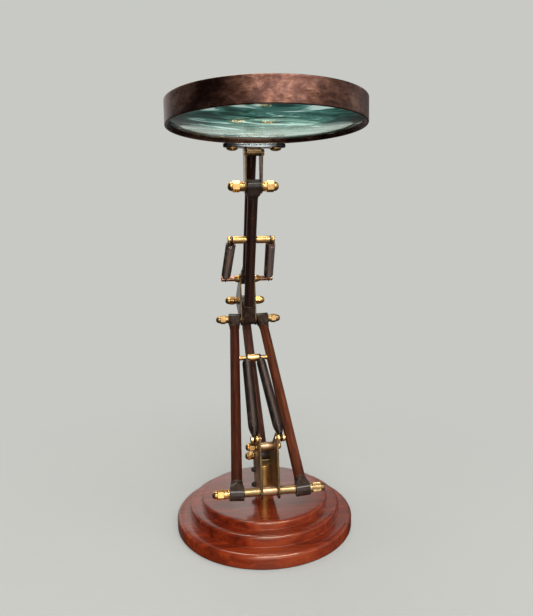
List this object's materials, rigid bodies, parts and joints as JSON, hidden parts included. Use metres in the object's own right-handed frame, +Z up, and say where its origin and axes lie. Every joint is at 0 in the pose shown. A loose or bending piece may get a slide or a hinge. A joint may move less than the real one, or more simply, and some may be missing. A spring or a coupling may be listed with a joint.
{
  "type": "desk magnifier",
  "caption": "Large framed magnifying lens on a spring-balanced double parallelogram arm, turning on a brass post in a stepped round wooden plinth.",
  "frame": {"origin": "centre of the plinth's underside, on the swivel axis", "axes": "+Z up along the swivel axis; the arm's pivots run along X; the lens reaches towards -Y"},
  "size_m": [0.22, 0.3779, 0.5053],
  "materials": {
    "plinth_wood": "gloss lacquer",
    "rod_wood": "dark polished",
    "black_steel": "satin black",
    "spring_steel": "blackened, slightly rusted",
    "brass": "polished",
    "bronze": "brushed",
    "aged_copper": "dark antique patina, polished",
    "lens_glass": "clear, slightly green"
  },
  "bodies": {
    "base": {"plinth": "plinth_wood", "pivot_spindle": "brass"},
    "swivel": {"swivel_barrel": "brass", "cheek_screw_lower": "black_steel", "cheek_screw_upper": "black_steel", "cheek_left": "brass", "cheek_right": "brass", "base_axle": "brass", "base_spacer_left": "brass", "base_spacer_right": "brass", "base_spacer_centre": "bronze", "stay_bolt": "brass", "link_bolt": "brass", "stay_bolt_nut": "brass", "link_bolt_nut": "brass", "spring_spool_left": "brass", "spring_spool_right": "brass"},
    "thumb_nut": {"base_axle_thumb_nut": "brass"},
    "lower_arm": {"leg_left": "rod_wood", "leg_right": "rod_wood", "leg_foot_left": "black_steel", "leg_foot_right": "black_steel", "leg_top_left": "black_steel", "leg_top_right": "black_steel", "lower_spring_pin": "brass"},
    "lower_link": {"lower_link_rod": "rod_wood", "lower_link_foot": "black_steel", "lower_link_top": "black_steel"},
    "lower_springs": {"lower_spring_left": "spring_steel", "lower_spring_right": "spring_steel"},
    "elbow": {"elbow_plate_left": "brass", "elbow_plate_right": "brass", "elbow_axle": "brass", "elbow_axle_nut": "brass", "elbow_link_bolt": "brass", "elbow_link_nut": "brass", "upper_spring_axle": "brass"},
    "upper_arm": {"upper_arm_rod": "rod_wood", "upper_arm_foot": "black_steel", "upper_arm_top": "black_steel", "upper_spring_bar": "brass"},
    "upper_link": {"upper_link_rod": "rod_wood", "upper_link_foot": "black_steel", "upper_link_top": "black_steel"},
    "upper_springs": {"upper_spring_left": "spring_steel", "upper_spring_right": "spring_steel"},
    "head": {"head_plate_left": "brass", "head_plate_right": "brass", "head_axle": "brass", "head_axle_nut": "brass", "head_link_bolt": "brass", "head_link_nut": "brass", "tilt_pin": "brass"},
    "lens": {"lens_ring": "aged_copper", "lens_glass": "lens_glass", "lens_retaining_ring": "aged_copper", "lens_saddle": "black_steel", "lens_saddle_screw_left": "brass", "lens_saddle_screw_right": "brass", "tilt_block": "brass"}
  },
  "joints": [
    {"name": "base_swivel", "type": "hinge", "parent": "base", "child": "swivel", "pos_m": [0, 0, 0.0386], "axis": [0, 0, 1], "continuous": true},
    {"name": "thumb_nut_turn", "type": "hinge", "parent": "swivel", "child": "thumb_nut", "pos_m": [0.0565, -0.0491, 0.0625], "axis": [1, 0, 0], "continuous": true},
    {"name": "lower_arm_pivot", "type": "hinge", "parent": "swivel", "child": "lower_arm", "pos_m": [0, -0.0491, 0.0625], "axis": [1, 0, 0], "range_deg": [-8, 25]},
    {"name": "lower_link_pivot", "type": "hinge", "parent": "swivel", "child": "lower_link", "pos_m": [0, 0.0114, 0.0826], "axis": [1, 0, 0], "range_deg": [-8.01, 25.01]},
    {"name": "lower_spring_pivot", "type": "hinge", "parent": "swivel", "child": "lower_springs", "pos_m": [0, -0.0397, 0.1236], "axis": [1, 0, 0], "range_deg": [-10.6, 33.11], "deforming": ["lower_spring_left", "lower_spring_right"]},
    {"name": "elbow_pivot", "type": "hinge", "parent": "lower_arm", "child": "elbow", "pos_m": [0, 0.1422, 0.2388], "axis": [1, 0, 0], "range_deg": [-25.01, 8.01]},
    {"name": "upper_arm_pivot", "type": "hinge", "parent": "elbow", "child": "upper_arm", "pos_m": [0, 0.1422, 0.2388], "axis": [1, 0, 0], "range_deg": [-8, 35]},
    {"name": "upper_link_pivot", "type": "hinge", "parent": "elbow", "child": "upper_link", "pos_m": [0, 0.1497, 0.2976], "axis": [1, 0, 0], "range_deg": [-8.01, 35.01]},
    {"name": "upper_spring_pivot", "type": "hinge", "parent": "elbow", "child": "upper_springs", "pos_m": [0, 0.1497, 0.2976], "axis": [1, 0, 0], "range_deg": [-9.81, 42.88], "deforming": ["upper_spring_left", "upper_spring_right"]},
    {"name": "head_pivot", "type": "hinge", "parent": "upper_arm", "child": "head", "pos_m": [0, 0.0598, 0.4239], "axis": [1, 0, 0], "range_deg": [-35.01, 8.01]},
    {"name": "lens_tilt", "type": "hinge", "parent": "head", "child": "lens", "pos_m": [0, 0.0475, 0.4649], "axis": [1, 0, 0], "range_deg": [-12, 55]}
  ],
  "couplings": [
    {"joint": "lower_link_pivot", "follows": "lower_arm_pivot", "ratio": 1},
    {"joint": "lower_spring_pivot", "follows": "lower_arm_pivot", "ratio": 1.324},
    {"joint": "elbow_pivot", "follows": "lower_arm_pivot", "ratio": -1},
    {"joint": "upper_link_pivot", "follows": "upper_arm_pivot", "ratio": 1},
    {"joint": "upper_spring_pivot", "follows": "upper_arm_pivot", "ratio": 1.225},
    {"joint": "head_pivot", "follows": "upper_arm_pivot", "ratio": -1}
  ]
}
